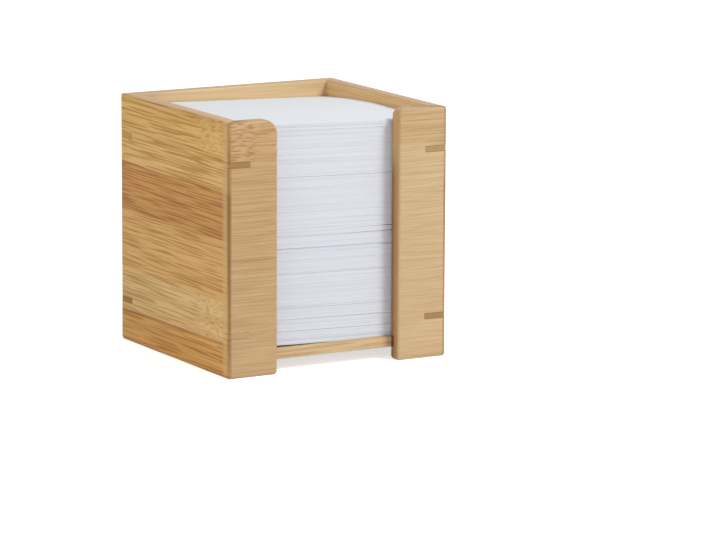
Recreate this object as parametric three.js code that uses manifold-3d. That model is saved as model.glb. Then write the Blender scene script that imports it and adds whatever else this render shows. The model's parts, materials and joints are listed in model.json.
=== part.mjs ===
// Bamboo memo cube: an open-topped box of glued bamboo boards with a thumb opening in its front,
// filled with loose note sheets. Millimetres, +Z up. The origin lies on the table under the middle
// of the box, and the front with the thumb opening faces -Y.

import * as THREE from "three";
import { mergeVertices } from "three/addons/utils/BufferGeometryUtils.js";
import Module from "manifold-3d";

const wasm = await Module();
wasm.setup();

// Note sheets, and the room the box leaves round them
const sheetWidth = 90;
const sheetDepth = 90;
const sheetLeftGap = 6.5;
const sheetRightGap = 0.5;
const sheetFrontGap = 0.6;
const sheetBackGap = 0.4;

// Box
const boxHeight = 114.5;
const wall = 7;

// Front posts on each side of the thumb opening
const postWidth = 24.7;
const leftThumbRadius = 6.5;
const rightThumbRadius = 3.5;

// Sanding: every arris, and those of the posts, which hands touch most, how much rounder than that
// a post's inner bottom corner is, the upright corners in plan, the top corners of each side seen
// square on, and the slim taper of its foot
const arris = 0.9;
const postArris = 1.4;
const toeSanding = 0.2;
const uprightRadius = 1.2;
const topCornerRadius = 1.5;
const footTaperWidth = 0.8;
const footTaperHeight = 5;

// Glue line in each mitre
const mitreGap = 0.25;

// Base board, and the groove that holds it
const baseThickness = 5;
const baseUnderside = 5.5;
const grooveWeb = 3.8;
const grooveHeadroom = 0.3;
const baseSideGap = 0.5;
const baseBackGap = 0.5;
const baseFrontReach = 0.8;
const baseArris = 0.4;

// Corner splines: triangular keys across the mitres, with this much wood left behind them
const splineCover = 2.26;
const splineThickness = 2.5;
const splineClearance = 0.15;
const upperSplineDrop = 19;
const lowerSplineRise = 19.2;

// Lie of the stack. Its lowest bundle is a wedge, thin at the right, that curls up off the base
// board towards the left. The stack leans down to the right, the more so at its top, where it also
// leans down to the back and is crowned from front to back, more at the right than at the left
const wedgeToe = 0.5;
const curlReach = 30;
const curlLift = 1.05;
const rightLean = 2.4;
const topRightLean = 0.65;
const topBackLean = 1.35;
const leftCrown = 0.9;
const rightCrown = 2.1;
const stackTopDrop = 4;
const bendPower = 8;

// The top sheets, and the air where the stack has parted
const topSheetsThickness = 0.4;
const airGap = 0.3;

// Bundles from the foot of the stack up: how high each one's top lies, as a share of the height
// from the wedge to the top, and how far it has slid to the right and to the front, as shares of
// the gaps there, or to the left and the back where it is less than 0
const bundleShares = [
  { top: 0.000, right: 0.3, front: -0.4 },
  { top: 0.042, right: -0.6, front: 0.3 },
  { top: 0.096, right: 0.4, front: -0.2 },
  { top: 0.149, right: -0.3, front: 0.5 },
  { top: 0.217, right: 0.5, front: -0.5 },
  { top: 0.306, right: -0.5, front: 0.1 },
  { top: 0.372, right: 0.2, front: -0.3 },
  { top: 0.428, right: -0.1, front: 0.4 },
  { top: 0.484, right: 0.5, front: -0.5 },
  { top: 0.532, right: -0.6, front: 0.5 },
  { top: 0.639, right: 0.1, front: -0.1 },
  { top: 0.756, right: -0.4, front: 0.2 },
  { top: 0.888, right: 0.3, front: -0.3 },
  { top: 1.000, right: -0.2, front: 0.1 },
];
const topSheetsShare = { right: 0.5, front: -0.5 };

// Cutters run past what they cut by this much
const overrun = 3;

// Facets
const arcSteps = 4;
const thumbSteps = 10;
const arrisSteps = 3;
const stackStepsAcross = 3;
const stackStepsDeep = 8;

// Sizes that follow
const innerHalfWidth = (sheetLeftGap + sheetWidth + sheetRightGap) / 2;
const innerHalfDepth = (sheetFrontGap + sheetDepth + sheetBackGap) / 2;
const halfWidth = innerHalfWidth + wall;
const halfDepth = innerHalfDepth + wall;
const grooveDepth = wall - grooveWeb;
const splineLeg = 2 * wall - splineCover * Math.SQRT2;

const bamboo = (name, color) =>
  new THREE.MeshStandardMaterial({ name, color, roughness: 0.55, metalness: 0 });
const faceGrainBamboo = bamboo("bamboo_face_grain", 0xc69c65);
const edgeGrainBamboo = bamboo("bamboo_edge_grain", 0xcba87b);
const splineBamboo = bamboo("bamboo_spline", 0xa5784b);
const notePaper = new THREE.MeshStandardMaterial({
  name: "note_paper", color: 0xe3e6ea, roughness: 0.9, metalness: 0,
});

// Frames for an outline: the directions in which its x, its y and its thickness run
const xAxis = new THREE.Vector3(1, 0, 0);
const yAxis = new THREE.Vector3(0, 1, 0);
const zAxis = new THREE.Vector3(0, 0, 1);
const towardsFront = new THREE.Vector3(0, -1, 0);
const planView = new THREE.Matrix4().makeBasis(xAxis, yAxis, zAxis);
const frontView = new THREE.Matrix4().makeBasis(xAxis, zAxis, towardsFront);
const sideView = new THREE.Matrix4().makeBasis(yAxis, zAxis, xAxis);

// A closed three.js geometry as a solid that can be cut
function solidOf(geometry) {
  const bare = geometry.clone();
  bare.deleteAttribute("normal");
  bare.deleteAttribute("uv");
  const merged = mergeVertices(bare);
  return new wasm.Manifold(new wasm.Mesh({
    numProp: 3,
    vertProperties: new Float32Array(merged.attributes.position.array),
    triVerts: new Uint32Array(merged.index.array),
  }));
}

// A solid's faces as a flat-shaded three.js geometry
function geometryOf(solid) {
  const mesh = solid.getMesh();
  const indexed = new THREE.BufferGeometry();
  indexed.setAttribute("position", new THREE.BufferAttribute(mesh.vertProperties, mesh.numProp));
  indexed.setIndex(new THREE.BufferAttribute(mesh.triVerts, 1));
  const geometry = indexed.toNonIndexed();
  geometry.computeVertexNormals();
  return geometry;
}

// An outline given a thickness between two places along its frame's third direction, with its
// arrises rounded within that thickness
function board(outline, from, to, frame, rounding = 0) {
  const geometry = new THREE.ExtrudeGeometry(outline, {
    depth: to - from - 2 * rounding,
    bevelEnabled: rounding > 0,
    bevelThickness: rounding,
    bevelSize: rounding,
    bevelOffset: -rounding,
    bevelSegments: arrisSteps,
  });
  geometry.translate(0, 0, from + rounding);
  geometry.applyMatrix4(frame);
  return solidOf(geometry);
}

// A rectangle with a rounding of its own at each corner, or a sharp corner where none is given. A
// rounding is a radius, or a reach along x and one along y. The corners run counterclockwise from
// the low left one
function rectangle(left, low, right, high, radii = {}) {
  const corners = [
    { x: left, y: low, inX: 1, inY: 1, radius: radii.lowLeft },
    { x: right, y: low, inX: -1, inY: 1, radius: radii.lowRight },
    { x: right, y: high, inX: -1, inY: -1, radius: radii.highRight },
    { x: left, y: high, inX: 1, inY: -1, radius: radii.highLeft },
  ];
  const points = corners.flatMap(({ x, y, inX, inY, radius = 0 }, turn) => {
    if (radius === 0) {
      return [new THREE.Vector2(x, y)];
    }
    const reach = new THREE.Vector2(...[radius, radius].flat());
    const steps = reach.x < rightThumbRadius ? arcSteps : thumbSteps;
    const middle = new THREE.Vector2(inX, inY).multiply(reach).add(new THREE.Vector2(x, y));
    const start = Math.PI + turn * Math.PI / 2;
    return Array.from({ length: steps + 1 }, (_, step) => {
      const angle = start + step / steps * Math.PI / 2;
      return new THREE.Vector2(Math.cos(angle), Math.sin(angle)).multiply(reach).add(middle);
    });
  });
  return new THREE.Shape(points);
}

function polygon(points) {
  return new THREE.Shape(points.map(([x, y]) => new THREE.Vector2(x, y)));
}

function cutBy(solid, cutters) {
  return cutters.reduce((rest, cutter) => rest.subtract(cutter), solid);
}

// Everything inside the sanded outside of the box: its upright corners are rounded in plan, and
// each side's corners are rounded as seen square on
function makeEnvelope() {
  const planRadii = {
    lowLeft: uprightRadius, lowRight: uprightRadius, highLeft: uprightRadius, highRight: uprightRadius,
  };
  const footTaper = [footTaperWidth, footTaperHeight];
  const viewRadii = {
    lowLeft: footTaper, lowRight: footTaper,
    highLeft: topCornerRadius, highRight: topCornerRadius,
  };
  const plan = rectangle(-halfWidth, -halfDepth, halfWidth, halfDepth, planRadii);
  const front = rectangle(-halfWidth, 0, halfWidth, boxHeight, viewRadii);
  const side = rectangle(-halfDepth, 0, halfDepth, boxHeight, viewRadii);
  return board(plan, -overrun, boxHeight + overrun, planView)
    .intersect(board(front, -halfDepth - overrun, halfDepth + overrun, frontView))
    .intersect(board(side, -halfWidth - overrun, halfWidth + overrun, sideView));
}

// The groove for the base board, round the inside of all the upright boards at once
function makeGroove() {
  const reachX = innerHalfWidth + grooveDepth;
  const reachY = innerHalfDepth + grooveDepth;
  const head = baseUnderside + baseThickness + grooveHeadroom;
  return board(rectangle(-reachX, -reachY, reachX, reachY), baseUnderside, head, planView);
}

const boxCorners = [
  { name: "front_left", toRight: -1, toBack: -1 },
  { name: "front_right", toRight: 1, toBack: -1 },
  { name: "back_left", toRight: -1, toBack: 1 },
  { name: "back_right", toRight: 1, toBack: 1 },
];
const splinePlaces = boxCorners.flatMap((corner) => [
  { name: `${corner.name}_upper_spline`, corner, height: boxHeight - upperSplineDrop },
  { name: `${corner.name}_lower_spline`, corner, height: lowerSplineRise },
]);

// A flat triangle across one corner of the box, its legs along the two outside faces. It may start
// outside the box, as a cutter does
function cornerKey({ corner, height }, leg, thickness, outside) {
  const far = leg + outside;
  const outline = polygon([[-outside, -outside], [far, -outside], [-outside, far]].map(
    ([fromSide, fromEnd]) => [
      corner.toRight * (halfWidth - fromSide),
      corner.toBack * (halfDepth - fromEnd),
    ],
  ));
  return board(outline, height - thickness / 2, height + thickness / 2, planView);
}

function makeSlot(place) {
  const leg = splineLeg + splineClearance * Math.SQRT2;
  return cornerKey(place, leg, splineThickness + 2 * splineClearance, overrun);
}

function makeSpline(place, envelope) {
  return cornerKey(place, splineLeg, splineThickness, 0).intersect(envelope);
}

// The upright boards are drawn with their outside face at y = 0 and their inside face towards +Y,
// and are stood in their places by these frames
const place = (turn, x, y) => new THREE.Matrix4().makeRotationZ(turn).setPosition(x, y, 0);
const atLeft = place(-Math.PI / 2, -halfWidth, 0);
const atRight = place(Math.PI / 2, halfWidth, 0);
const atBack = place(Math.PI, 0, halfDepth);
const atFront = place(0, 0, -halfDepth);

// One upright board: its front outline given the wall's thickness and rounded arrises, and cut to
// its plan, which holds its mitres
function makeUpright(outline, rounding, plan, where, envelope, cutters) {
  const slab = board(outline, -wall, 0, where.clone().multiply(frontView), rounding);
  const mitres = board(plan, -overrun, boxHeight + overrun, where.clone().multiply(planView));
  return cutBy(slab.intersect(mitres).intersect(envelope), cutters);
}

// Each mitre face is set back for the glue line
const mitreSetBack = mitreGap / Math.SQRT2;

function makeWall(halfLength, where, envelope, cutters) {
  const past = halfLength + overrun;
  const outer = halfLength - mitreSetBack;
  const inner = outer - wall;
  const plan = polygon([[-outer, 0], [outer, 0], [inner, wall], [-inner, wall]]);
  return makeUpright(rectangle(-past, 0, past, boxHeight), arris, plan, where, envelope, cutters);
}

// A post on the left or, with side 1, on the right. Its free end is square, with a wide radius at
// the top and a small one at the foot
function makePost(side, thumbRadius, envelope, cutters) {
  const freeEnd = halfWidth - postWidth;
  const outer = halfWidth - mitreSetBack;
  const inner = outer - wall;
  const square = freeEnd - overrun;
  const plan = polygon([[outer, 0], [square, 0], [square, wall], [inner, wall]].map(
    ([x, y]) => [side * x, y],
  ));
  const ends = [side * (halfWidth + overrun), side * freeEnd];
  const toe = postArris + toeSanding;
  const radii = side < 0
    ? { lowRight: toe, highRight: thumbRadius }
    : { lowLeft: toe, highLeft: thumbRadius };
  const outline = rectangle(Math.min(...ends), 0, Math.max(...ends), boxHeight, radii);
  return makeUpright(outline, postArris, plan, atFront, envelope, cutters);
}

// The panel lies at the back of its groove, so its front edge shows a little way inside the posts
function makeBaseBoard() {
  const reachX = innerHalfWidth + grooveDepth - baseSideGap;
  const back = innerHalfDepth + grooveDepth - baseBackGap;
  const front = -innerHalfDepth - baseFrontReach;
  const outline = rectangle(-reachX, front, reachX, back);
  return board(outline, baseUnderside, baseUnderside + baseThickness, planView, baseArris);
}

// Heights in the stack are measured from the base board, at the middle of the sheets' front edge
const wedgeTop = wedgeToe + airGap + rightLean / 2;
const middleCrown = (leftCrown + rightCrown) / 2;
const frontDrop = middleCrown - topBackLean / 2;
const stackFront = boxHeight - stackTopDrop - frontDrop - baseUnderside - baseThickness;

// The height of a parting over a place on the sheets. The bend of the topmost sheets dies away
// down the stack with a power of the share
function partingHeight(share, x, y) {
  const across = x / (sheetWidth / 2);
  const deep = y / (sheetDepth / 2);
  const bend = share ** bendPower;
  const level = wedgeTop + share * (stackFront - wedgeTop);
  const lean = (rightLean + bend * topRightLean) / 2 * across;
  const crown = middleCrown + (rightCrown - leftCrown) / 2 * across;
  const backDrop = topBackLean / 2 * (1 + deep);
  return level - lean + bend * (crown * (1 - deep ** 2) - backDrop);
}

// The underside of the lowest sheets
function footHeight(x) {
  const curlStart = curlReach - sheetWidth / 2;
  return curlLift * Math.max(0, (curlStart - x) / curlReach);
}

// Sheets between two surfaces, with upright sides
function makeSheets(underside, topside) {
  const geometry = new THREE.BoxGeometry(sheetWidth, sheetDepth, 1, stackStepsAcross,
    stackStepsDeep, 1);
  const points = geometry.attributes.position;
  for (let index = 0; index < points.count; index += 1) {
    const surface = points.getZ(index) > 0 ? topside : underside;
    points.setZ(index, surface(points.getX(index), points.getY(index)));
  }
  geometry.computeVertexNormals();
  return geometry;
}

function addPiece(group, name, geometry, material) {
  const mesh = new THREE.Mesh(geometry, material);
  mesh.name = name;
  group.add(mesh);
  return mesh;
}

function makeBox() {
  const box = new THREE.Group();
  const envelope = makeEnvelope();
  const cutters = [makeGroove(), ...splinePlaces.map(makeSlot)];
  const add = (name, solid, material) => addPiece(box, name, geometryOf(solid), material);
  add("left_wall", makeWall(halfDepth, atLeft, envelope, cutters), faceGrainBamboo);
  add("right_wall", makeWall(halfDepth, atRight, envelope, cutters), faceGrainBamboo);
  add("back_wall", makeWall(halfWidth, atBack, envelope, cutters), faceGrainBamboo);
  add("front_left_post", makePost(-1, leftThumbRadius, envelope, cutters), edgeGrainBamboo);
  add("front_right_post", makePost(1, rightThumbRadius, envelope, cutters), edgeGrainBamboo);
  add("base_board", makeBaseBoard(), edgeGrainBamboo);
  splinePlaces.forEach((spot) => add(spot.name, makeSpline(spot, envelope), splineBamboo));
  return box;
}

// The stack stands on the base board. Its sheets slide within the gaps left round them
function makeStack() {
  const stack = new THREE.Group();
  stack.position.set(
    innerHalfWidth - sheetRightGap - sheetWidth / 2,
    sheetFrontGap + sheetDepth / 2 - innerHalfDepth,
    baseUnderside + baseThickness,
  );
  const addSheets = (name, share, underside, topside) => {
    const mesh = addPiece(stack, name, makeSheets(underside, topside), notePaper);
    mesh.position.x = share.right * sheetRightGap;
    mesh.position.y = -share.front * (share.front > 0 ? sheetFrontGap : sheetBackGap);
  };
  bundleShares.forEach((share, index) => {
    const below = bundleShares[index - 1];
    const underside = below ? (x, y) => partingHeight(below.top, x, y) : footHeight;
    const air = index < bundleShares.length - 1 ? airGap : airGap + topSheetsThickness;
    const topside = (x, y) => partingHeight(share.top, x, y) - air;
    addSheets(`sheet_bundle_${String(index + 1).padStart(2, "0")}`, share, underside, topside);
  });
  const top = (x, y) => partingHeight(1, x, y);
  addSheets("top_sheets", topSheetsShare, (x, y) => top(x, y) - topSheetsThickness, top);
  return stack;
}

const memoCube = new THREE.Group();
memoCube.name = "memo_cube";
memoCube.add(makeBox(), makeStack());

export default memoCube;
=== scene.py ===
"""Looks of the bamboo memo cube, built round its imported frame.

Metres, +Z up, the front with the thumb opening faces -Y. The glued box is the body "holder"; its
boards keep the frame's shape, with their arrises shaded round. Every bundle of note sheets is
laid out anew, sheet group by sheet group, between the bundle's own two surfaces.
"""

import json

import bpy
import numpy as np
from mathutils import Matrix, Vector


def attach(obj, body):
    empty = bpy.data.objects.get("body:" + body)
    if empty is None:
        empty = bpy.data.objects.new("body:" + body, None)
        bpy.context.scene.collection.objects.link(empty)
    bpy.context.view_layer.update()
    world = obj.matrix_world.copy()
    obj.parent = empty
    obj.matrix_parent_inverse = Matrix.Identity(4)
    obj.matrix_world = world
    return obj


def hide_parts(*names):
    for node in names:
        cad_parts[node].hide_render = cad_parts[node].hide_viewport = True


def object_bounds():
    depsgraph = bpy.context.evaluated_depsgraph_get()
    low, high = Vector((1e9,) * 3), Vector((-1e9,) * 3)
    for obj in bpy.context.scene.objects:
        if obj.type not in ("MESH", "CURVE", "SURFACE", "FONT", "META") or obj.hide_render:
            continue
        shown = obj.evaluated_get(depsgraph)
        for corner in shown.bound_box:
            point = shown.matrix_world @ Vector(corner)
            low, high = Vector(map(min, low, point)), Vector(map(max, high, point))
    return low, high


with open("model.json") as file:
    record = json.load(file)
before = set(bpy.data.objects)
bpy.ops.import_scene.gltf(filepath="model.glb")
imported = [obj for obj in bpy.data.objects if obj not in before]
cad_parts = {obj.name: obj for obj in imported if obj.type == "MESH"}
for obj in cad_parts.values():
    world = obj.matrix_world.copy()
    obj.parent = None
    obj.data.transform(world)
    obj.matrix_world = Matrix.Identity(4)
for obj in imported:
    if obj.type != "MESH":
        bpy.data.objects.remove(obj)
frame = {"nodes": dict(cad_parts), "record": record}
frame_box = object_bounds()
bpy.context.scene.view_settings.view_transform = "Standard"

MM = 0.001
HALF_WIDTH, HALF_DEPTH, BOX_HEIGHT = frame_box[1]


def linear(hex_colour):
    """The linear RGBA of an sRGB hex colour."""
    shares = [int(hex_colour[i : i + 2], 16) / 255 for i in (1, 3, 5)]
    return [s / 12.92 if s <= 0.04045 else ((s + 0.055) / 1.055) ** 2.4 for s in shares] + [1.0]


def grey(value):
    """The RGBA of a grey."""
    return (value, value, value, 1.0)


def add(tree, kind, inputs=None, stops=(), interpolation="LINEAR", **settings):
    """Adds a node with its settings, and a ramp's stops, and fills its inputs.

    An input goes by its name or number, and takes a value, an output, or a node's first output.
    """
    node = tree.nodes.new(kind)
    for name, value in settings.items():
        setattr(node, name, value)
    if stops:
        ramp = node.color_ramp
        ramp.interpolation = interpolation
        while len(ramp.elements) < len(stops):
            ramp.elements.new(1.0)
        for element, (position, colour) in zip(ramp.elements, stops):
            element.position = position
            element.color = colour
    for key, value in (inputs or {}).items():
        named = [s for s in node.inputs if s.enabled and s.name == key]
        socket = node.inputs[key] if isinstance(key, int) else named[0]
        if isinstance(value, bpy.types.Node):
            value = next(s for s in value.outputs if s.enabled)
        if isinstance(value, bpy.types.NodeSocket):
            tree.links.new(value, socket)
        else:
            socket.default_value = value
    return node


def new_material(name):
    """A material with an empty node tree, and the tree."""
    material = bpy.data.materials.new(name)
    material.use_nodes = True
    material.node_tree.nodes.clear()
    return material, material.node_tree


# Camera: where the photograph was taken from. Angles in degrees. The lens is long, so the box
# shows little perspective
CAMERA_AZIMUTH = -29.81
CAMERA_ELEVATION = 10.60
CAMERA_ROLL = 0.274
CAMERA_DISTANCE = 1927 * MM
LENS_MM = 212.74
AIM_HEIGHT = 52.86 * MM
AIM_RIGHT = 34.69 * MM
AIM_UP = -16.59 * MM
CAMERA_REACH = 10.0


def direction(azimuth, elevation):
    """The unit vector from the object towards a place. Azimuth 0 is in front, 90 at its right."""
    azimuth, elevation = np.radians([azimuth, elevation])
    level = np.cos(elevation)
    return Vector((np.sin(azimuth) * level, -np.cos(azimuth) * level, np.sin(elevation)))


def place_camera():
    """The camera stands on a sphere round a point beside the box, and rolls about its own axis."""
    back = direction(CAMERA_AZIMUTH, CAMERA_ELEVATION)
    right = Vector((0, 0, 1)).cross(back).normalized()
    up = back.cross(right)
    aim = Vector((0, 0, AIM_HEIGHT)) + right * AIM_RIGHT + up * AIM_UP
    roll = Matrix.Rotation(np.radians(CAMERA_ROLL), 3, back)
    place = Matrix((roll @ right, roll @ up, back)).transposed().to_4x4()
    place.translation = aim + back * CAMERA_DISTANCE
    data = bpy.data.cameras.new("camera")
    data.lens = LENS_MM
    data.clip_end = CAMERA_REACH
    camera = bpy.data.objects.new("camera", data)
    camera.matrix_world = place
    bpy.context.scene.collection.objects.link(camera)
    bpy.context.scene.camera = camera


# Light: a soft lamp above the front right, a weaker one at the left, and a white room
LAMPS = {
    "key_lamp": {"azimuth": 32, "elevation": 45, "distance": 1.3, "size": 0.4, "watts": 9.3},
    "fill_lamp": {"azimuth": -80, "elevation": 20, "distance": 1.6, "size": 1.6, "watts": 4.6},
}
ROOM_STRENGTH = 0.5


def place_lamps():
    """Each lamp is a disc that faces the middle of the box."""
    for name, lamp in LAMPS.items():
        away = direction(lamp["azimuth"], lamp["elevation"])
        data = bpy.data.lights.new(name, "AREA")
        data.shape = "DISK"
        data.size = lamp["size"]
        data.energy = lamp["watts"]
        light = bpy.data.objects.new(name, data)
        light.location = Vector((0, 0, AIM_HEIGHT)) + away * lamp["distance"]
        light.rotation_euler = away.to_track_quat("Z", "Y").to_euler()
        bpy.context.scene.collection.objects.link(light)


def seen_directly(tree):
    """1 where a camera, mirror or glass ray looks, and 0 for the light that falls on the object."""
    path = add(tree, "ShaderNodeLightPath")
    camera, glossy, through = (
        path.outputs[f"Is {kind} Ray"] for kind in ("Camera", "Glossy", "Transmission")
    )
    either = add(tree, "ShaderNodeMath", {0: camera, 1: glossy}, operation="MAXIMUM")
    return add(tree, "ShaderNodeMath", {0: either, 1: through}, operation="MAXIMUM")


def make_room():
    """A white background that lights the object softly."""
    world = bpy.data.worlds.new("white_room")
    bpy.context.scene.world = world
    world.use_nodes = True
    tree = world.node_tree
    tree.nodes.clear()
    inputs = {"Value": seen_directly(tree), "To Min": ROOM_STRENGTH, "To Max": 1.0}
    strength = add(tree, "ShaderNodeMapRange", inputs)
    background = add(tree, "ShaderNodeBackground", {"Color": grey(1.0), "Strength": strength})
    add(tree, "ShaderNodeOutputWorld", {"Surface": background})


FLOOR_REACH = 6.0
FLOOR_COLOUR = "#f0f0f1"
FLOOR_GLOW = 0.635


def make_floor():
    """A white table top. To the eye it glows a little, so that it is white but for the shadow."""
    mesh = bpy.data.meshes.new("table_top")
    corners = [(-1, -1), (1, -1), (1, 1), (-1, 1)]
    mesh.from_pydata([(x * FLOOR_REACH, y * FLOOR_REACH, 0) for x, y in corners], [], [range(4)])
    floor = bpy.data.objects.new("table_top", mesh)
    bpy.context.scene.collection.objects.link(floor)
    material, tree = new_material("white_table")
    matt = add(tree, "ShaderNodeBsdfDiffuse", {"Color": linear(FLOOR_COLOUR)})
    inputs = {0: seen_directly(tree), 1: FLOOR_GLOW}
    glow = add(tree, "ShaderNodeMath", inputs, operation="MULTIPLY")
    light = add(tree, "ShaderNodeEmission", {"Color": grey(1.0), "Strength": glow})
    both = add(tree, "ShaderNodeAddShader", {0: matt, 1: light})
    add(tree, "ShaderNodeOutputMaterial", {"Surface": both})
    mesh.materials.append(material)


# Bamboo. A board is glued up from strips of split cane, each with its own tone, whose fibre
# bundles show as thin dark dashes along the grain. Sanded and lightly oiled: a satin surface.
# A strip's foot and its knuckle are in millimetres: the knuckle is the joint of the cane, where
# the fibres break up, and its place is measured along the grain from the middle of the board
WALL = 7 * MM
BAMBOO_IOR = 1.45
BAMBOO_ROUGHNESS = 0.6
FIBRE_RELIEF = 0.06 * MM
FIBRE_RELIEF_STRENGTH = 0.5

# Noise sizes along and across the grain, in millimetres: of the line between two strips, of a
# knuckle's ragged edge and of the short dashes inside it
WANDER_SIZE = (70, 40)
RAGGED_SIZE = (8, 4)
BROKEN_SIZE = (4.5, 0.7)
WANDER = 3 * MM
RAGGED = 16 * MM

# A line is so many times a dash's length and thickness, and a soft band so many times its
# thickness. A band's length is in millimetres
LINE_LENGTHS = 1.6
LINE_THICKNESSES = 2.4
BAND_LENGTH = 120
BAND_THICKNESSES = 8

# Between which values of the noise each of them fades in, and how much it shades the strip
DASH_STEP = (0.48, 0.60)
LINE_STEP = (0.44, 0.62)
BAND_STEP = (0.35, 0.65)
BROKEN_STEP = (0.44, 0.74)
DASH_SHARE = 0.66
LINE_SHARE = 0.16
BAND_SHARE = 0.18

# How strongly short dashes mark a knuckle, how far in millimetres it reaches to either side, and
# how much of that is its full middle. A strip without one has it past the end of any board
KNUCKLE_MARKS = 0.75
KNUCKLE_REACH = 20
KNUCKLE_FULL = 0.4
STRIP_LENGTH = 400.0

# From which phase to which the strips of a board go, and how far in metres a phase of 1 shifts
# the noise
PHASES = (0.05, 0.95)
PHASE_SHIFT = (3.1, 5.3, 7.7)

# The cosines between which a side comes to count as a board's end or its top
FACING_STEP = (0.75, 0.95)
END_TONE = "#c0915f"
TOP_TONE = "#c1a483"
TOP_SHARE = 0.8

# The back wall's inside is painted paler: painted light for the light the paper throws onto it
INSIDE_LIGHT_STEP = (5 * MM, 6 * MM)
INSIDE_LIGHT_TONE = "#d9c099"
INSIDE_LIGHT_SHARE = 0.75

# A post's free end is painted darker towards the back: painted shade, for the shadow in the
# crevice behind the post. Near its top the end takes a lighter tone in place of that shade
END_SHADE_STEP = (2.0 * MM, 6.6 * MM)
END_SHADE_TONE = "#8c5f3a"
END_TOP_STEP = (82 * MM, 96 * MM)
END_TOP_TONE = "#c9a068"

# A dark line along a mitred corner, partly glue and partly painted shade of the joint and its
# eased edge, beside a paler sanded band. On the base board the same line is painted shade on its
# front inside the groove. The shares of its strength go by height as a share of the box's
GLUE_AND_SHADE_SHARES = [(0.0, 0.58), (0.3, 0.65), (0.6, 0.87), (0.7, 0.98), (0.74, 0.62), (0.9, 0.4)]
GLUE_AND_SHADE_TONE = "#8a5c22"
SEAM_BLUR = 0.6
SANDED_FULL = 4 * MM
SANDED_TONE = "#d4ab6d"
SANDED_SHARE = 0.65


def by_strip(tree, share, strips, colours):
    """A constant colour for each strip, by height over the table as a share of the box's."""
    stops = [(strip["foot"] * MM / BOX_HEIGHT, colour) for strip, colour in zip(strips, colours)]
    return add(tree, "ShaderNodeValToRGB", {"Fac": share}, stops=stops, interpolation="CONSTANT")


def grain_noise(tree, spot, grain, size, detail, step=None):
    """Noise stretched to a size along and across the grain, in millimetres.

    With a step, it is eased from 0 to 1 between the step's two values.
    """
    along, across = (1 / (length * MM) for length in size)
    scale = (along, across, across) if grain == "X" else (across, along, across)
    spread = add(tree, "ShaderNodeVectorMath", {0: spot, 1: scale}, operation="MULTIPLY")
    noise = add(tree, "ShaderNodeTexNoise", {"Vector": spread, "Scale": 1.0, "Detail": detail})
    if step is None:
        return noise
    inputs = {"Value": noise, "From Min": step[0], "From Max": step[1]}
    return add(tree, "ShaderNodeMapRange", inputs, interpolation_type="SMOOTHSTEP")


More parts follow.
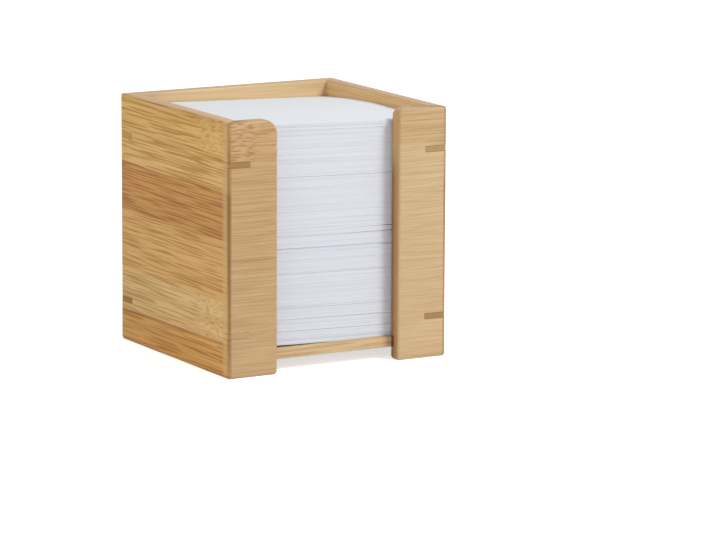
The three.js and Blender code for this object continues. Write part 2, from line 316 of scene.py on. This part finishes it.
def strip_grain(tree, spot, axes, grain, strips, fibre, reach):
    """The colour of a board's strips, and how strongly its fibre bundles show at each place.

    fibre holds the length and thickness in millimetres of a fibre bundle's dash. Noise stretched
    to that size gives the dashes, and the same noise, stretched further, the lines and the soft
    bands of a strip. Each strip shifts the noise by its own phase, so no dash crosses a glue line.
    """
    wander = grain_noise(tree, spot, grain, WANDER_SIZE, 1.0)
    inputs = {0: wander, 1: WANDER, 2: -0.5 * WANDER}
    lift = add(tree, "ShaderNodeMath", inputs, operation="MULTIPLY_ADD")
    height = add(tree, "ShaderNodeMath", {0: axes.outputs["Z"], 1: lift}, operation="ADD")
    share = add(tree, "ShaderNodeMath", {0: height, 1: BOX_HEIGHT}, operation="DIVIDE")
    light = by_strip(tree, share, strips, [linear(strip["light"]) for strip in strips])
    dark = by_strip(tree, share, strips, [linear(strip["dark"]) for strip in strips])
    phases = [grey(value) for value in np.linspace(*PHASES, len(strips))]
    inputs = {0: by_strip(tree, share, strips, phases), 1: PHASE_SHIFT, 2: spot}
    shifted = add(tree, "ShaderNodeVectorMath", inputs, operation="MULTIPLY_ADD")

    # How near a place is to the strip's knuckle. The knuckle's middle is kept as a share
    places = [strip.get("knuckle", STRIP_LENGTH) / STRIP_LENGTH for strip in strips]
    middle = by_strip(tree, share, strips, [grey(0.5 + place) for place in places])
    inputs = {0: middle, 1: STRIP_LENGTH * MM, 2: -0.5 * STRIP_LENGTH * MM}
    middle = add(tree, "ShaderNodeMath", inputs, operation="MULTIPLY_ADD")
    ragged = grain_noise(tree, shifted, grain, RAGGED_SIZE, 2.0)
    inputs = {0: ragged, 1: RAGGED, 2: -0.5 * RAGGED}
    ragged = add(tree, "ShaderNodeMath", inputs, operation="MULTIPLY_ADD")
    off = add(tree, "ShaderNodeMath", {0: axes.outputs[grain], 1: middle}, operation="SUBTRACT")
    off = add(tree, "ShaderNodeMath", {0: off, 1: ragged}, operation="ADD")
    off = add(tree, "ShaderNodeMath", {0: off}, operation="ABSOLUTE")
    inputs = {"Value": off, "From Min": reach * MM, "From Max": KNUCKLE_FULL * reach * MM}
    knuckle = add(tree, "ShaderNodeMapRange", inputs, interpolation_type="SMOOTHSTEP")

    # Dashes are thin and sharp, lines longer and softer, and bands shade the strip more broadly.
    # In a knuckle, short dashes take the place of the long ones
    length, thickness = fibre
    line_size = (LINE_LENGTHS * length, LINE_THICKNESSES * thickness)
    band_size = (BAND_LENGTH, BAND_THICKNESSES * thickness)
    dashes = grain_noise(tree, shifted, grain, fibre, 0.0, DASH_STEP)
    lines = grain_noise(tree, shifted, grain, line_size, 0.0, LINE_STEP)
    bands = grain_noise(tree, shifted, grain, band_size, 1.0, BAND_STEP)
    broken = grain_noise(tree, shifted, grain, BROKEN_SIZE, 0.0, BROKEN_STEP)
    marks = [grey(strip.get("marks", KNUCKLE_MARKS)) for strip in strips]
    inputs = {0: broken, 1: by_strip(tree, share, strips, marks)}
    marked = add(tree, "ShaderNodeMath", inputs, operation="MULTIPLY")
    change = add(tree, "ShaderNodeMath", {0: marked, 1: dashes}, operation="SUBTRACT")
    inputs = {0: change, 1: knuckle, 2: dashes}
    fibres = add(tree, "ShaderNodeMath", inputs, operation="MULTIPLY_ADD")
    depth = 0.0
    for pattern, part in ((fibres, DASH_SHARE), (lines, LINE_SHARE), (bands, BAND_SHARE)):
        inputs = {0: pattern, 1: part, 2: depth}
        depth = add(tree, "ShaderNodeMath", inputs, operation="MULTIPLY_ADD")
    colour = add(tree, "ShaderNodeMix", {"Factor": depth, "A": light, "B": dark}, data_type="RGBA")
    return colour, fibres


def paint(tree, colour, tone, value, step, share=1.0):
    """Lays a share of a tone over a colour, fading in from a step's first value to its second."""
    inputs = {"Value": value, "From Min": step[0], "From Max": step[1], "To Max": share}
    cover = add(tree, "ShaderNodeMapRange", inputs, interpolation_type="SMOOTHSTEP")
    return add(tree, "ShaderNodeMix", {"Factor": cover, "A": colour, "B": tone}, data_type="RGBA")


def glue_and_shade_line(tree, colour, axes, grain, glue_and_shade):
    """The dark line along a mitred corner, partly glue and partly painted shade; on the base board,
    painted shade on its front edge inside the groove.

    glue_and_shade holds how strong the line is, and how many millimetres wide.
    """
    strength, width = glue_and_shade
    inputs = {0: axes.outputs["Y"], 1: HALF_DEPTH}
    from_front = add(tree, "ShaderNodeMath", inputs, operation="ADD")
    if grain == "X":
        side = add(tree, "ShaderNodeMath", {0: axes.outputs["X"]}, operation="ABSOLUTE")
        inward = add(tree, "ShaderNodeMath", {0: HALF_WIDTH, 1: side}, operation="SUBTRACT")
    else:
        inward = from_front
        sanded = linear(SANDED_TONE)
        colour = paint(tree, colour, sanded, inward, (WALL, SANDED_FULL), SANDED_SHARE)
    inputs = {"Value": inward, "From Min": (width + SEAM_BLUR) * MM, "From Max": width * MM}
    corner = add(tree, "ShaderNodeMapRange", inputs, interpolation_type="SMOOTHSTEP")
    near = add(tree, "ShaderNodeMath", {0: from_front, 1: WALL}, operation="LESS_THAN")
    corner = add(tree, "ShaderNodeMath", {0: corner, 1: near}, operation="MULTIPLY")
    inputs = {0: axes.outputs["Z"], 1: BOX_HEIGHT}
    rise = add(tree, "ShaderNodeMath", inputs, operation="DIVIDE")
    stops = [(place, grey(share * strength)) for place, share in GLUE_AND_SHADE_SHARES]
    along = add(tree, "ShaderNodeValToRGB", {"Fac": rise}, stops=stops)
    cover = add(tree, "ShaderNodeMath", {0: corner, 1: along}, operation="MULTIPLY")
    inputs = {"Factor": cover, "A": colour, "B": linear(GLUE_AND_SHADE_TONE)}
    return add(tree, "ShaderNodeMix", inputs, data_type="RGBA")


def bamboo(
    name,
    grain,
    strips,
    fibre,
    glue_and_shade=None,
    inside_light_tone=None,
    end_shade_tone=None,
    end_tone=END_TONE,
    top_tone=TOP_TONE,
    reach=KNUCKLE_REACH,
):
    """Glued bamboo strips with the grain along X or Y, with their ends and greyer tops.

    Where asked it paints light and shade too: a paler inside as painted light, painted shade
    towards the back of a post's free end, and a dark seam line that is partly painted shade.
    """
    material, tree = new_material(name)
    place = add(tree, "ShaderNodeTexCoord")
    spot = place.outputs["Object"]
    axes = add(tree, "ShaderNodeSeparateXYZ", {"Vector": spot})
    facing = add(tree, "ShaderNodeSeparateXYZ", {"Vector": place.outputs["Normal"]})
    colour, fibres = strip_grain(tree, spot, axes, grain, strips, fibre, reach)
    # painted light: the back wall's inside is painted paler, for light thrown onto it by the paper
    if inside_light_tone:
        behind = [HALF_DEPTH - inset for inset in INSIDE_LIGHT_STEP]
        colour = paint(tree, colour, linear(inside_light_tone), axes.outputs["Y"], behind, INSIDE_LIGHT_SHARE)
    end_colour = linear(end_tone)
    # painted shade: a post's free end darkens towards the back, and takes a lighter tone near its
    # top
    if end_shade_tone:
        inside = [inset - HALF_DEPTH for inset in END_SHADE_STEP]
        end_colour = paint(tree, end_colour, linear(end_shade_tone), axes.outputs["Y"], inside)
        clear = linear(END_TOP_TONE)
        end_colour = paint(tree, end_colour, clear, axes.outputs["Z"], END_TOP_STEP)
    end_on = add(tree, "ShaderNodeMath", {0: facing.outputs[grain]}, operation="ABSOLUTE")
    colour = paint(tree, colour, end_colour, end_on, FACING_STEP)
    if top_tone:
        tone = linear(top_tone)
        colour = paint(tree, colour, tone, facing.outputs["Z"], FACING_STEP, TOP_SHARE)
    # painted shade: a dark line at a mitre, partly glue, and on the base board painted shade in its
    # groove
    if glue_and_shade:
        colour = glue_and_shade_line(tree, colour, axes, grain, glue_and_shade)
    relief = {"Height": fibres, "Distance": FIBRE_RELIEF, "Strength": FIBRE_RELIEF_STRENGTH}
    bump = add(tree, "ShaderNodeBump", relief)
    shader = add(
        tree,
        "ShaderNodeBsdfPrincipled",
        {"Base Color": colour, "Roughness": BAMBOO_ROUGHNESS, "IOR": BAMBOO_IOR, "Normal": bump},
    )
    add(tree, "ShaderNodeOutputMaterial", {"Surface": shader})
    return material


LEFT_WALL_STRIPS = [
    {"foot": 0, "light": "#dfab59", "dark": "#a8680f"},
    {"foot": 13.8, "light": "#bf8a42", "dark": "#94570c"},
    {"foot": 15, "light": "#e8c181", "dark": "#b68840", "knuckle": -37},
    {"foot": 34, "light": "#e4b46b", "dark": "#b17a2b"},
    {"foot": 61, "light": "#d0994a", "dark": "#995b05"},
    {"foot": 82, "light": "#bf8641", "dark": "#8e5208"},
    {"foot": 83, "light": "#e6bb73", "dark": "#b37c23"},
    {"foot": 99, "light": "#e6b86d", "dark": "#af7817", "knuckle": -38},
]
RIGHT_WALL_STRIPS = [
    {"foot": 0, "light": "#e4b46b", "dark": "#b17a2b", "knuckle": 18},
    {"foot": 20, "light": "#dba656", "dark": "#a3640f"},
    {"foot": 43, "light": "#e4bc7c", "dark": "#b3843b"},
    {"foot": 66, "light": "#e4b46b", "dark": "#b17a2b", "knuckle": -8},
    {"foot": 88, "light": "#eac38c", "dark": "#d8ac70"},
]
BACK_WALL_STRIPS = [
    {"foot": 0, "light": "#e4b46b", "dark": "#b17a2b"},
    {"foot": 18, "light": "#e4bc7c", "dark": "#b3843b", "knuckle": 24},
    {"foot": 41, "light": "#dba656", "dark": "#a3640f"},
    {"foot": 63, "light": "#e4b46b", "dark": "#b17a2b", "knuckle": -31},
    {"foot": 86, "light": "#e4b46b", "dark": "#b17a2b"},
]
POST_STRIPS = {
    "front_left_post": [
        {"foot": 0, "light": "#c8a77b", "dark": "#b59161"},
        {"foot": 52, "light": "#bb9663", "dark": "#ab8350"},
        {"foot": 52.8, "light": "#c6a477", "dark": "#b38e5a"},
        {"foot": 97, "light": "#cba87a", "dark": "#ad804b", "knuckle": -50, "marks": 1.6},
    ],
    "front_right_post": [
        {"foot": 0, "light": "#d2b489", "dark": "#c1a275"},
        {"foot": 98, "light": "#cbab7e", "dark": "#b29061"},
    ],
}
BOARD_STRIPS = [{"foot": 0, "light": "#dabe93", "dark": "#c19e6f"}]

# Splines: the tone of the face grain, and of the end grain that shows on the other board. Where
# the front left ones match their board, they take its wood
SPLINE_TONES = {
    "front_left_upper_spline": ("#a27741", "#cf9e54"),
    "front_right_upper_spline": ("#ad895b", "#ad895b"),
    "front_right_lower_spline": ("#a17c4f", "#a17c4f"),
    "back_left_upper_spline": ("#a27741", "#c39049"),
    "back_left_lower_spline": ("#a27741", "#9e701d"),
    "back_right_upper_spline": ("#a27741", "#a27741"),
    "back_right_lower_spline": ("#a27741", "#a27741"),
}

# Sides that meet at less than this angle are shaded round. Corners of the mesh closer than the
# joining reach are one, and those within the mitre's reach of its plane move onto it. A spline's
# side faces left where its normal's x is below this
ARRIS_ANGLE = np.radians(40)
JOINING_REACH = 0.001 * MM
MITRE_REACH = 0.3 * MM
FACES_LEFT = -0.9


def close_mitres(mesh, grain):
    """Glues the mitres shut.

    A corner of the mesh that lies as far in from the side as from the front or back, give or take
    the reach, moves along the grain to where both are equal.
    """
    points = np.empty(3 * len(mesh.vertices), np.float32)
    mesh.vertices.foreach_get("co", points)
    points = points.reshape(-1, 3)
    halves = np.array([HALF_WIDTH, HALF_DEPTH])
    inward = halves - np.abs(points[:, :2])
    near = np.abs(inward[:, 0] - inward[:, 1]) < MITRE_REACH
    axis = "XY".index(grain)
    shut = halves[axis] - inward[:, 1 - axis]
    points[near, axis] = (np.sign(points[:, axis]) * shut)[near]
    mesh.vertices.foreach_set("co", points.ravel())
    mesh.update()


def round_off(node, material, grain):
    """A board as its node has it, with its triangles joined and its sanded arrises shaded round."""
    name = f"{node}_bamboo"
    rough = bpy.data.objects.new(name, frame["nodes"][node].data.copy())
    bpy.context.scene.collection.objects.link(rough)
    weld = rough.modifiers.new("joined triangles", "WELD")
    weld.merge_threshold = JOINING_REACH
    graph = bpy.context.evaluated_depsgraph_get()
    rough.data = bpy.data.meshes.new_from_object(rough.evaluated_get(graph))
    rough.modifiers.clear()
    rough.data.name = name
    close_mitres(rough.data, grain)
    rough.data.shade_smooth()
    rough.data.set_sharp_from_angle(angle=ARRIS_ANGLE)
    level = rough.modifiers.new("flat faces", "WEIGHTED_NORMAL")
    level.keep_sharp = True
    rough.data.materials.clear()
    rough.data.materials.append(material)
    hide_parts(node)
    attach(rough, "holder")


def match_boards(node, woods):
    """Gives a spline its wood, and a second wood to the side it shows in the left wall."""
    key = frame["nodes"][node]
    key.data.materials.clear()
    for wood in woods:
        key.data.materials.append(wood)
    for side in key.data.polygons:
        side.material_index = int(len(woods) > 1 and side.normal.x < FACES_LEFT)


# The length and thickness of a fibre bundle's dash, and how strong and how wide each dark seam
# line is, in millimetres. The base board's line is painted shade inside its groove
WALL_FIBRE = (30, 0.62)
POST_FIBRE = (24, 0.36)
BOARD_FIBRE = (30, 0.8)
SPLINE_FIBRE = (10, 0.7)
WALL_GLUE_AND_SHADE = (0.7, 1.3)
POST_GLUE_AND_SHADE = (0.8, 1.1)
BOARD_GROOVE_SHADE = (1.3, 24.3)
POST_KNUCKLE_REACH = 12


def dress_box():
    """Gives every board and spline its wood."""
    walls = {
        "left_wall": ("Y", LEFT_WALL_STRIPS, {"glue_and_shade": WALL_GLUE_AND_SHADE}),
        "right_wall": ("Y", RIGHT_WALL_STRIPS, {"glue_and_shade": WALL_GLUE_AND_SHADE}),
        # the back wall's inside is painted paler: painted light
        "back_wall": ("X", BACK_WALL_STRIPS, {"inside_light_tone": INSIDE_LIGHT_TONE}),
    }
    for node, (grain, strips, finish) in walls.items():
        wood = bamboo(f"bamboo_{node}", grain, strips, WALL_FIBRE, **finish)
        round_off(node, wood, grain)
    # posts: a dark mitre line that is partly painted shade, and painted shade on their free ends
    finish = {"glue_and_shade": POST_GLUE_AND_SHADE, "end_shade_tone": END_SHADE_TONE, "reach": POST_KNUCKLE_REACH}
    for node, strips in POST_STRIPS.items():
        wood = bamboo(f"bamboo_{node}", "X", strips, POST_FIBRE, **finish)
        round_off(node, wood, "X")
    # painted shade: the base board's front is painted dark where it runs into the grooves
    finish = {"glue_and_shade": BOARD_GROOVE_SHADE, "top_tone": None}
    wood = bamboo("bamboo_base_board", "X", BOARD_STRIPS, BOARD_FIBRE, **finish)
    round_off("base_board", wood, "X")
    post_wood, wall_wood = (
        bpy.data.materials[f"bamboo_{node}"] for node in ("front_left_post", "left_wall")
    )
    for node, (tone, end_tone) in SPLINE_TONES.items():
        strips = [{"foot": 0, "light": tone, "dark": tone}]
        wood = bamboo(f"bamboo_{node}", "X", strips, SPLINE_FIBRE, end_tone=end_tone)
        match_boards(node, [wood, wall_wood] if node == "front_left_upper_spline" else [wood])
    match_boards("front_left_lower_spline", [post_wood, wall_wood])


# Note paper, uncoated, matt and faintly blue. A sheet is 0.1 mm, too thin for the picture, so a
# line on the sides stands for a few of them
PAPER_TONES = {"top": "#e4e8ec", "sheet": "#dfe2e9", "line": "#d4d8df"}
PAPER_IOR = 1.45
PAPER_ROUGHNESS = 0.85
EDGE_LINE_SIZE = (150 * MM, 0.55 * MM)
EDGE_LINE_STEP = (0.3, 0.6)
FACES_UP = 0.5

# A leaf is a group of sheets that has slid as one
STACK_SEED = 7
LEAF_THICKNESS = (0.28 * MM, 1.0 * MM)
LEAF_SLIDE = 0.1 * MM
LEAF_TURN = np.radians(0.09)
LEAF_GAP_SHARE = 0.03
LEAF_CELLS = 4
AIR_GAP = 0.3 * MM

# How much of the air over each bundle is closed by its sheets' sag, at the left and at the right,
# from the foot of the stack up
CLOSED_SHARES = [
    (0.78, 0.85), (0.68, 0.72), (0.85, 0.68), (0.72, 0.8), (1.0, 0.8), (0.93, 0.9), (0.96, 0.95),
    (0.8, 0.8), (0.97, 0.9), (0.98, 0.98), (1.0, 0.99), (0.8, 0.6), (1.0, 0.95), (1.0, 1.0),
]
TOP_CLOSED_SHARE = (0.0, 0.0)

# The bundles' fronts lie nearly flush: how much of a bundle's slide shows, and in which bundle a
# top leaf of a set thickness lies further back
FRONT_OF_STACK = -44.9 * MM
SLIDE_SHOWN = 0.3
SUNKEN = {"sheet_bundle_08": (0.7 * MM, 0.45 * MM)}

# The lowest sheets bend up at the left: how far, and between which places across
BEND_UP = 0.5 * MM
BEND_START = -8 * MM
BEND_END = -26 * MM

# Sheets that spread towards the right: which bundle, where in it, and how far they open there
FANS = {"sheet_bundle_10": [(0.0, 0.9 * MM), (0.55, 0.9 * MM)]}
FAN_START = 19 * MM
FAN_END = 45 * MM

# Places nearer than this are one. A leaf's underside is worked out a hair above its edge, so that
# it opens with the fan that starts there
SAME_PLACE = 0.05 * MM
HAIR = 1e-9


def paper(name, tones):
    """White note paper. On the sides, the edges of its sheets show as fine lines."""
    material, tree = new_material(name)
    spread = add(tree, "ShaderNodeUVMap", uv_map="sheets")
    inputs = {0: spread, 1: (1 / EDGE_LINE_SIZE[0], 1 / EDGE_LINE_SIZE[1], 0)}
    scaled = add(tree, "ShaderNodeVectorMath", inputs, operation="MULTIPLY")
    lines = add(tree, "ShaderNodeTexNoise", {"Vector": scaled, "Scale": 1.0, "Detail": 2.0})
    stops = list(zip(EDGE_LINE_STEP, (linear(tones["line"]), linear(tones["sheet"]))))
    edge = add(tree, "ShaderNodeValToRGB", {"Fac": lines}, stops=stops)
    place = add(tree, "ShaderNodeTexCoord")
    facing = add(tree, "ShaderNodeSeparateXYZ", {"Vector": place.outputs["Normal"]})
    inputs = {0: facing.outputs["Z"], 1: FACES_UP}
    flat = add(tree, "ShaderNodeMath", inputs, operation="GREATER_THAN")
    inputs = {"Factor": flat, "A": edge, "B": linear(tones["top"])}
    shade = add(tree, "ShaderNodeMix", inputs, data_type="RGBA")
    inputs = {"Base Color": shade, "Roughness": PAPER_ROUGHNESS, "IOR": PAPER_IOR}
    shader = add(tree, "ShaderNodeBsdfPrincipled", inputs)
    add(tree, "ShaderNodeOutputMaterial", {"Surface": shader})
    return material


def levels(values):
    """The distinct values among many that repeat with rounding errors."""
    ordered = np.sort(values)
    return ordered[np.concatenate([[True], np.diff(ordered) > SAME_PLACE])]


def bundle_surfaces(node):
    """A bundle's underside and top side, read off the corners of its node.

    Both are heights over (x, y), straight from corner to corner across, and a parabola from front
    to back.
    """
    mesh = frame["nodes"][node].data
    points = np.empty(3 * len(mesh.vertices), np.float32)
    mesh.vertices.foreach_get("co", points)
    points = points.reshape(-1, 3).astype(float)
    across, deep = levels(points[:, 0]), levels(points[:, 1])
    column = np.abs(points[:, :1] - across).argmin(1)
    row = np.abs(points[:, 1:2] - deep).argmin(1)
    surfaces = []
    for pick, start in ((np.minimum, np.inf), (np.maximum, -np.inf)):
        heights = np.full((len(across), len(deep)), start)
        pick.at(heights, (column, row), points[:, 2])
        curves = np.polyfit(deep, heights.T, 2)

        def surface(x, y, curves=curves):
            square, slope, level = (np.interp(x, across, curve) for curve in curves)
            return (square * y + slope) * y + level

        surfaces.append(surface)
    return surfaces, (across[0], across[-1]), (deep[0], deep[-1])


def leaf_shares(thickness, breaks, random):
    """Where a bundle parts into leaves, as shares of its thickness. Each break is such a place."""
    edges = [0.0]
    while edges[-1] < 1:
        edges.append(edges[-1] + random.uniform(*LEAF_THICKNESS) / thickness)
    edges = np.array(edges[:-1]) / edges[-2] if len(edges) > 2 else np.array([0.0, 1.0])
    for place in breaks:
        inner = np.abs(edges[1:-1] - place).argmin() + 1
        edges[inner] = place
    return edges


def opened(share, x, fans):
    """A share of a bundle's thickness once its fans have opened towards the right.

    Each fan opens from nothing at FAN_START to its own width at FAN_END, as a cubic ease, and the
    sheets close up by as much.
    """
    if not fans:
        return share
    ease = np.clip((x - FAN_START) / (FAN_END - FAN_START), 0, 1)
    ease = ease * ease * (3 - 2 * ease)
    total = sum(width for _, width in fans)
    below = sum(width * (share >= place) for place, width in fans)
    return share * (1 - total * ease) + below * ease


def add_leaf(parts, low, high, spread_x, spread_y, slide, turn, heights):
    """One leaf: a closed block of sheets between two surfaces, slid and turned a little.

    Both surfaces are taken on one even grid and share its outline, which the sides join. The
    pattern runs along x + y, and upwards between two heights, so that its lines lie level.
    """
    steps = np.linspace(0, 1, LEAF_CELLS + 1)
    x = spread_x[0] + (spread_x[1] - spread_x[0]) * steps
    y = spread_y[0] + (spread_y[1] - spread_y[0]) * steps
    grid_x, grid_y = (g.ravel() for g in np.meshgrid(x, y, indexing="ij"))
    middle = (np.mean(spread_x), np.mean(spread_y))
    moved_x = grid_x - turn * (grid_y - middle[1]) + slide[0]
    moved_y = grid_y + turn * (grid_x - middle[0]) + slide[1]
    bottom = np.stack([moved_x, moved_y, low(grid_x, grid_y)], 1)
    top = np.stack([moved_x, moved_y, high(grid_x, grid_y)], 1)
    count = (LEAF_CELLS + 1) ** 2
    index = np.arange(count).reshape(LEAF_CELLS + 1, -1)
    corners = index[:-1, :-1], index[1:, :-1], index[1:, 1:], index[:-1, 1:]
    cell = np.stack(corners, -1).reshape(-1, 4)
    rim = np.concatenate([index[:-1, 0], index[-1, :-1], index[:0:-1, -1], index[0, :0:-1]])
    following = np.roll(rim, -1)
    sides = np.stack([rim, following, following + count, rim + count], -1)
    base = parts["count"]
    parts["points"] += [bottom, top]
    parts["faces"] += [cell[:, ::-1] + base, cell + count + base, sides + base]
    parts["uv"] += [np.stack([moved_x + moved_y, np.full(count, z)], 1) for z in heights]
    parts["count"] += 2 * count


def make_sheets(node, material, body, closed, random):
    """A bundle of note sheets in the place of its node."""
    (low, high), spread_x, spread_y = bundle_surfaces(node)
    middle = (np.mean(spread_x), np.mean(spread_y))
    thickness = high(*middle) - low(*middle)
    fans = [(place, width / thickness) for place, width in FANS.get(node, [])]
    sunken_depth, sunken_slide = SUNKEN.get(node, (0.0, 0.0))
    breaks = [place for place, _ in fans if place > 0]
    if sunken_depth:
        breaks.append(1 - sunken_depth / thickness)
    edges = leaf_shares(thickness, breaks, random)
    flush = (1 - SLIDE_SHOWN) * (FRONT_OF_STACK - spread_y[0])
    bend_up = BEND_UP if node == "sheet_bundle_01" else 0.0

    def at(share):
        """The surface at a share of the way up through the sheets.

        The way starts at the bundle's underside, bent up in an even slope at the left, and ends at
        its top side plus the air that its sag closes, which changes evenly from left to right.
        """

        def surface(x, y):
            across = (x - spread_x[0]) / (spread_x[1] - spread_x[0])
            sag = AIR_GAP * (closed[0] + (closed[1] - closed[0]) * across)
            bent = low(x, y) + bend_up * np.clip((BEND_START - x) / (BEND_START - BEND_END), 0, 1)
            room = high(x, y) + sag * share - bent
            return bent + room * opened(share, x, fans)

        return surface

    parts = {"points": [], "faces": [], "uv": [], "count": 0}
    for start, end in zip(edges[:-1], edges[1:]):
        gap = (end - start) * LEAF_GAP_SHARE
        sides = at(start + HAIR), at(end - gap)
        slide = random.uniform(-LEAF_SLIDE, LEAF_SLIDE, 2)
        slide[1] += flush + (sunken_slide if end == 1.0 else 0.0)
        turn = random.uniform(-LEAF_TURN, LEAF_TURN)
        heights = [low(*middle) + thickness * share for share in (start, end)]
        add_leaf(parts, *sides, spread_x, spread_y, slide, turn, heights)
    name = node.replace("bundle", "leaves")
    mesh = bpy.data.meshes.new(name)
    mesh.from_pydata(np.concatenate(parts["points"]), [], np.concatenate(parts["faces"]))
    uv = np.concatenate(parts["uv"])
    corners = np.empty(len(mesh.loops), np.int32)
    mesh.loops.foreach_get("vertex_index", corners)
    mesh.uv_layers.new(name="sheets").uv.foreach_set("vector", uv[corners].ravel())
    mesh.materials.append(material)
    piece = bpy.data.objects.new(name, mesh)
    bpy.context.scene.collection.objects.link(piece)
    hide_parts(node)
    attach(piece, body)


def dress_stack():
    """Lays out the sheets of each bundle, from the foot of the stack up."""
    random = np.random.default_rng(STACK_SEED)
    sheet_paper = paper("note_paper_white", PAPER_TONES)
    listed = frame["record"]["behaviour"]["bodies"]
    bodies = {node: body for body, nodes in listed.items() for node in nodes}
    bundles = sorted(node for node in frame["nodes"] if node.startswith("sheet_bundle"))
    for node, closed in zip(bundles, CLOSED_SHARES):
        make_sheets(node, sheet_paper, bodies[node], closed, random)
    make_sheets("top_sheets", sheet_paper, bodies["top_sheets"], TOP_CLOSED_SHARE, random)


dress_box()
dress_stack()
place_camera()
place_lamps()
make_room()
make_floor()
